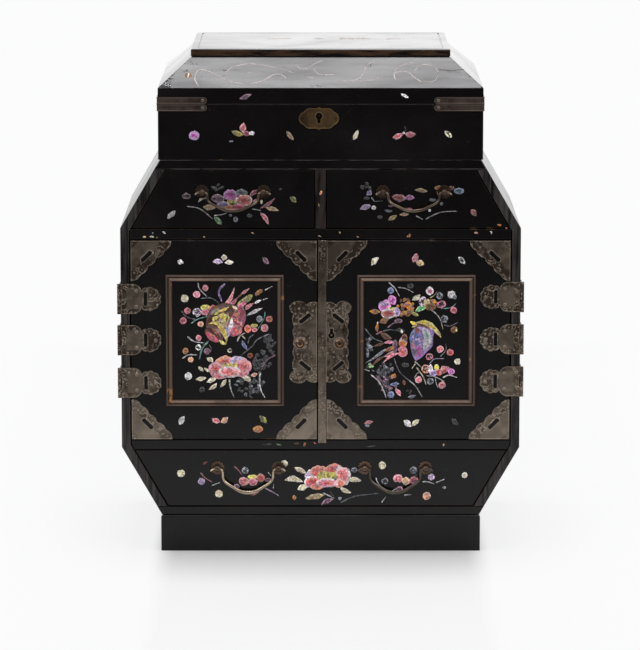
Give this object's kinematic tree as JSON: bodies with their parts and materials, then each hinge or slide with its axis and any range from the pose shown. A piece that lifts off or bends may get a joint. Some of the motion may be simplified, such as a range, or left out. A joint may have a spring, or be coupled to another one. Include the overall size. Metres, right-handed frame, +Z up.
{
  "type": "lacquer jewelry cabinet",
  "caption": "Small free-standing eight-sided table cabinet with a lidded top box, a pair of hinged doors, drawers and drop handles, for keeping jewellery.",
  "frame": {"origin": "middle of the flat underside of the plinth", "axes": "+Z up, the front with its doors and drawers faces -Y, +X to the right as seen from the front"},
  "size_m": [0.3052, 0.1966, 0.3788],
  "materials": {
    "black_lacquer": "polished black lacquer on wood",
    "inner_lacquer": "satin black lacquer on wood",
    "worn_moulding": "worn brown-black lacquer",
    "grey_mounts": "dull grey-brown patina with engraved edges",
    "bronze_mounts": "dark bronze patina",
    "lock_brass": "dull brass"
  },
  "bodies": {
    "cabinet": {"base_plinth": "black_lacquer", "floor_board": "black_lacquer", "left_side_wall": "black_lacquer", "right_side_wall": "black_lacquer", "ceiling_board": "black_lacquer", "back_panel": "black_lacquer", "lower_shelf": "black_lacquer", "upper_shelf": "black_lacquer", "drawer_divider": "black_lacquer", "inner_board_1": "inner_lacquer", "box_walls": "black_lacquer", "box_escutcheon": "bronze_mounts", "lid_lock": "lock_brass", "left_box_strap": "bronze_mounts", "right_box_strap": "bronze_mounts", "left_lid_hinge_box_leaf": "lock_brass", "right_lid_hinge_box_leaf": "lock_brass", "left_hinge_1_wall_leaf": "grey_mounts", "left_hinge_2_wall_leaf": "grey_mounts", "left_hinge_3_wall_leaf": "grey_mounts", "right_hinge_1_wall_leaf": "grey_mounts", "right_hinge_2_wall_leaf": "grey_mounts", "right_hinge_3_wall_leaf": "grey_mounts"},
    "lid": {"lid_shell": "black_lacquer", "lid_top_panel": "black_lacquer", "left_lid_strap": "bronze_mounts", "right_lid_strap": "bronze_mounts", "left_lid_hinge_lid_leaf": "lock_brass", "right_lid_hinge_lid_leaf": "lock_brass"},
    "left_door": {"left_door_board": "black_lacquer", "left_door_moulding": "worn_moulding", "left_lock_plate": "grey_mounts", "left_door_bottom_left_plate": "grey_mounts", "left_door_bottom_right_plate": "grey_mounts", "left_door_top_right_plate": "grey_mounts", "left_door_top_left_plate": "grey_mounts", "left_hinge_1_door_leaf": "grey_mounts", "left_hinge_2_door_leaf": "grey_mounts", "left_hinge_3_door_leaf": "grey_mounts"},
    "right_door": {"right_door_board": "black_lacquer", "right_door_moulding": "worn_moulding", "right_lock_plate": "grey_mounts", "right_door_bottom_left_plate": "grey_mounts", "right_door_bottom_right_plate": "grey_mounts", "right_door_top_right_plate": "grey_mounts", "right_door_top_left_plate": "grey_mounts", "right_hinge_1_door_leaf": "grey_mounts", "right_hinge_2_door_leaf": "grey_mounts", "right_hinge_3_door_leaf": "grey_mounts", "door_cover_strip": "grey_mounts"},
    "lock_bolt": {"door_lock_bolt": "lock_brass"},
    "upper_left_drawer": {"upper_left_drawer": "black_lacquer"},
    "upper_right_drawer": {"upper_right_drawer": "black_lacquer"},
    "bottom_drawer": {"bottom_drawer": "black_lacquer"},
    "upper_left_bail": {"upper_left_bail": "bronze_mounts"},
    "upper_right_bail": {"upper_right_bail": "bronze_mounts"},
    "bottom_left_bail": {"bottom_left_bail": "bronze_mounts"},
    "bottom_right_bail": {"bottom_right_bail": "bronze_mounts"},
    "inner_drawer_1": {"inner_drawer_1": "inner_lacquer"},
    "inner_drawer_2": {"inner_drawer_2": "inner_lacquer"}
  },
  "joints": [
    {"name": "lid_hinge", "type": "hinge", "parent": "cabinet", "child": "lid", "pos_m": [0, 0.0951, 0.34015], "axis": [-1, 0, 0], "range_deg": [0, 100]},
    {"name": "left_door_hinge", "type": "hinge", "parent": "cabinet", "child": "left_door", "pos_m": [-0.1512, -0.0932, 0.162], "axis": [0, 0, -1], "range_deg": [0, 240]},
    {"name": "right_door_hinge", "type": "hinge", "parent": "cabinet", "child": "right_door", "pos_m": [0.1512, -0.0932, 0.162], "axis": [0, 0, 1], "range_deg": [0, 240]},
    {"name": "lock_bolt_slide", "type": "slide", "parent": "right_door", "child": "lock_bolt", "axis": [-1, 0, 0], "range_m": [0, 0.005]},
    {"name": "upper_left_drawer_slide", "type": "slide", "parent": "cabinet", "child": "upper_left_drawer", "axis": [0, -1, 0], "range_m": [0, 0.13]},
    {"name": "upper_right_drawer_slide", "type": "slide", "parent": "cabinet", "child": "upper_right_drawer", "axis": [0, -1, 0], "range_m": [0, 0.13]},
    {"name": "bottom_drawer_slide", "type": "slide", "parent": "cabinet", "child": "bottom_drawer", "axis": [0, -1, 0], "range_m": [0, 0.13]},
    {"name": "inner_drawer_1_slide", "type": "slide", "parent": "cabinet", "child": "inner_drawer_1", "axis": [0, -1, 0], "range_m": [0, 0.006]},
    {"name": "inner_drawer_2_slide", "type": "slide", "parent": "cabinet", "child": "inner_drawer_2", "axis": [0, -1, 0], "range_m": [0, 0.006]},
    {"name": "upper_left_bail_swing", "type": "hinge", "parent": "upper_left_drawer", "child": "upper_left_bail", "pos_m": [-0.0655, -0.0972, 0.2744], "axis": [-1, 0, 0], "range_deg": [-12, 150]},
    {"name": "upper_right_bail_swing", "type": "hinge", "parent": "upper_right_drawer", "child": "upper_right_bail", "pos_m": [0.0695, -0.0972, 0.2744], "axis": [-1, 0, 0], "range_deg": [-12, 150]},
    {"name": "bottom_left_bail_swing", "type": "hinge", "parent": "bottom_drawer", "child": "bottom_left_bail", "pos_m": [-0.0548, -0.0972, 0.0642], "axis": [-1, 0, 0], "range_deg": [-10, 150]},
    {"name": "bottom_right_bail_swing", "type": "hinge", "parent": "bottom_drawer", "child": "bottom_right_bail", "pos_m": [0.0563, -0.0972, 0.0642], "axis": [-1, 0, 0], "range_deg": [-10, 150]}
  ]
}
